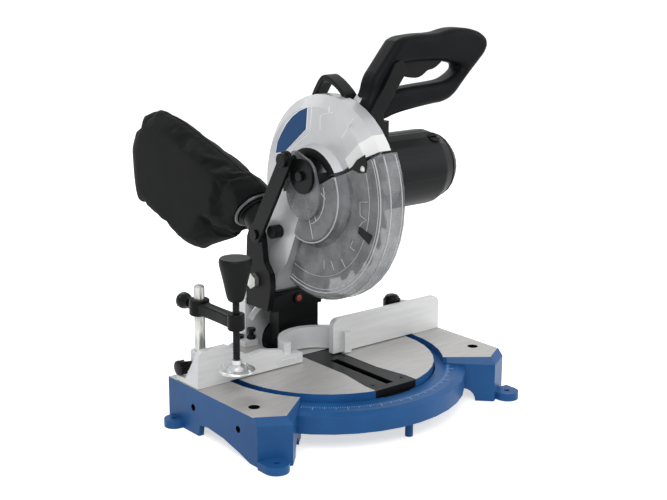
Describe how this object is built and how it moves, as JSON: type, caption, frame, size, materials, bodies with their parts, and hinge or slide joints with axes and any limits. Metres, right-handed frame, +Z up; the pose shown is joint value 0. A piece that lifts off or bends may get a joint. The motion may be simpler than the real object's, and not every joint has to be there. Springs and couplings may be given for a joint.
{
  "type": "mitre saw",
  "caption": "Compound mitre saw: turning table, tilting fork, chop head with blade, motor, looped handle and dust bag, guarded blade and a work clamp.",
  "frame": {"origin": "on the bench plane, on the axis that the turntable turns about, at the underside of the base's centre boss", "axes": "+X to the user's right, +Y away from the user, +Z up; the head is raised, the mitre and the bevel are at zero"},
  "size_m": [0.402, 0.5818, 0.4335],
  "materials": {
    "blue_enamel": "gloss enamel over die casting",
    "machined_aluminium": "milled and brushed",
    "cast_aluminium": "fine shot-blasted casting, faces milled",
    "silver_paint": "satin silver paint",
    "gear_casting": "satin",
    "black_casting": "satin black paint",
    "blackened_steel": "black oxide",
    "zinc_steel": "bright zinc plate",
    "chrome_plate": "polished",
    "blade_steel": "ground",
    "spring_steel": "bright wire",
    "clear_guard": "clear polycarbonate",
    "black_shell": "spark-eroded moulding",
    "black_moulding": "satin moulding",
    "grip_rubber": "soft matt",
    "bag_cloth": "woven nylon",
    "red_lens": "clear red",
    "copper_windings": "lacquered wire and steel core"
  },
  "bodies": {
    "base": {"base_casting": "blue_enamel", "front_foot": "blue_enamel", "fence": "cast_aluminium", "fence_screw_1": "blackened_steel", "fence_screw_2": "blackened_steel", "fence_screw_3": "blackened_steel", "fence_screw_4": "blackened_steel"},
    "mitre_knob": {"mitre_lock_knob": "black_moulding"},
    "table": {"turntable": "machined_aluminium", "pivot_bolt": "zinc_steel", "table_insert": "black_moulding", "insert_screw_1": "zinc_steel", "insert_screw_2": "zinc_steel", "bevel_bracket": "silver_paint", "bracket_screw_1": "blackened_steel", "bracket_screw_2": "blackened_steel", "bevel_stop_screw": "blackened_steel"},
    "post": {"clamp_post": "zinc_steel"},
    "post_knob": {"post_lock_knob": "black_moulding"},
    "arm": {"clamp_arm": "black_casting"},
    "arm_knob": {"arm_thumbscrew": "black_moulding"},
    "foot": {"clamp_foot": "chrome_plate"},
    "spindle": {"clamp_spindle": "black_moulding"},
    "tilt": {"tilt_fork": "black_casting", "tilt_bolt": "zinc_steel", "laser_module": "black_casting", "laser_lens": "red_lens", "hinge_pin": "zinc_steel", "return_spring": "spring_steel", "link_screw": "zinc_steel"},
    "bevel_handle": {"bevel_lever": "black_moulding"},
    "lock_pin": {"head_lock_pin": "black_moulding"},
    "head": {"upper_guard": "silver_paint", "gear_housing": "gear_casting", "motor_housing": "black_shell", "motor_end_cap": "black_shell", "brush_cap_1": "black_moulding", "brush_cap_2": "black_moulding", "handle_front": "black_shell", "handle_rear": "black_shell", "power_switch": "black_moulding", "carry_handle": "grip_rubber", "dust_port": "black_moulding", "stop_buffer": "grip_rubber"},
    "arbor": {"arbor_shaft": "zinc_steel", "blade": "blade_steel", "outer_flange": "zinc_steel", "arbor_bolt": "zinc_steel"},
    "rotor": {"armature": "copper_windings"},
    "trigger": {"trigger": "black_moulding"},
    "lock_button": {"lock_off_button": "black_moulding"},
    "release": {"release_lever": "black_casting"},
    "bag": {"dust_bag": "bag_cloth", "bag_clip": "zinc_steel"},
    "guard": {"lower_guard": "clear_guard", "guard_hub": "zinc_steel", "guard_cover": "black_moulding", "cover_bolt": "blackened_steel", "link_pin": "blackened_steel"},
    "link": {"guard_link": "black_casting"}
  },
  "joints": [
    {"name": "mitre", "type": "hinge", "parent": "base", "child": "table", "pos_m": [0, 0, 0.053], "axis": [0, 0, -1], "range_deg": [-45, 45]},
    {"name": "mitre_lock", "type": "hinge", "parent": "base", "child": "mitre_knob", "pos_m": [0.12, 0.02, 0.09], "axis": [0, 0, -1], "range_deg": [0, 360]},
    {"name": "bevel", "type": "hinge", "parent": "table", "child": "tilt", "pos_m": [0, 0.08, 0.053], "axis": [0, -1, 0], "range_deg": [0, 30]},
    {"name": "bevel_clamp", "type": "hinge", "parent": "tilt", "child": "bevel_handle", "pos_m": [-0.00436, 0.11, 0.10281], "axis": [0, 1, 0], "range_deg": [0, 45]},
    {"name": "head_lock", "type": "slide", "parent": "tilt", "child": "lock_pin", "axis": [-1, 0, 0], "range_m": [0, 0.008]},
    {"name": "chop", "type": "hinge", "parent": "tilt", "child": "head", "pos_m": [0, 0.08, 0.137], "axis": [1, 0, 0], "range_deg": [0, 54], "stiffness_Nm_per_rad": 4, "springref_deg": -51.57},
    {"name": "blade_spin", "type": "hinge", "parent": "head", "child": "arbor", "pos_m": [0, 0, 0.254], "axis": [1, 0, 0], "continuous": true},
    {"name": "rotor_spin", "type": "hinge", "parent": "head", "child": "rotor", "pos_m": [0.09, -0.03, 0.273], "axis": [1, 0, 0], "continuous": true},
    {"name": "trigger_squeeze", "type": "hinge", "parent": "head", "child": "trigger", "pos_m": [0.072, -0.038, 0.401], "axis": [0, -1, 0], "range_deg": [0, 8], "stiffness_Nm_per_rad": 0.3, "springref_deg": -5.73},
    {"name": "lock_off_press", "type": "slide", "parent": "head", "child": "lock_button", "axis": [0, -1, 0], "range_m": [0, 0.004], "stiffness_N_per_m": 400, "springref_m": -0.001},
    {"name": "release_squeeze", "type": "hinge", "parent": "head", "child": "release", "pos_m": [0.025, -0.0559, 0.329], "axis": [0, 1, 0], "range_deg": [0, 12], "stiffness_Nm_per_rad": 0.5, "springref_deg": -5.73},
    {"name": "bag_pull", "type": "slide", "parent": "head", "child": "bag", "axis": [0, 0.788, 0.6157], "range_m": [0, 0.03]},
    {"name": "guard_open", "type": "hinge", "parent": "head", "child": "guard", "pos_m": [-0.02, 0, 0.254], "axis": [1, 0, 0], "range_deg": [-135, 0]},
    {"name": "link_swing", "type": "hinge", "parent": "tilt", "child": "link", "pos_m": [-0.049, 0.072, 0.195], "axis": [1, 0, 0], "range_deg": [0, 92.6]},
    {"name": "post_lift", "type": "slide", "parent": "base", "child": "post", "axis": [0, 0, 1], "range_m": [0, 0.02]},
    {"name": "post_lock", "type": "hinge", "parent": "base", "child": "post_knob", "pos_m": [-0.175, 0.0356, 0.069], "axis": [-1, 0, 0], "range_deg": [0, 360]},
    {"name": "clamp_swing", "type": "hinge", "parent": "post", "child": "arm", "pos_m": [-0.1541, 0.0356, 0.135], "axis": [0, 0, -1], "range_deg": [-30, 90]},
    {"name": "arm_lock", "type": "hinge", "parent": "arm", "child": "arm_knob", "pos_m": [-0.1541, 0.06, 0.135], "axis": [0, 1, 0], "range_deg": [0, 360]},
    {"name": "clamp_feed", "type": "slide", "parent": "arm", "child": "foot", "axis": [0, 0, -1], "range_m": [-0.012, 0.0135]},
    {"name": "spindle_turn", "type": "hinge", "parent": "foot", "child": "spindle", "pos_m": [-0.1541, -0.0352, 0.15], "axis": [0, 0, -1], "range_deg": [-1440, 1620]}
  ],
  "couplings": [
    {"joint": "rotor_spin", "follows": "blade_spin", "ratio": -3.35},
    {"joint": "guard_open", "follows": "chop", "ratio": -2.5},
    {"joint": "link_swing", "follows": "chop", "ratio": 1.713},
    {"joint": "spindle_turn", "follows": "clamp_feed", "rad_per_m": 2094.4}
  ]
}
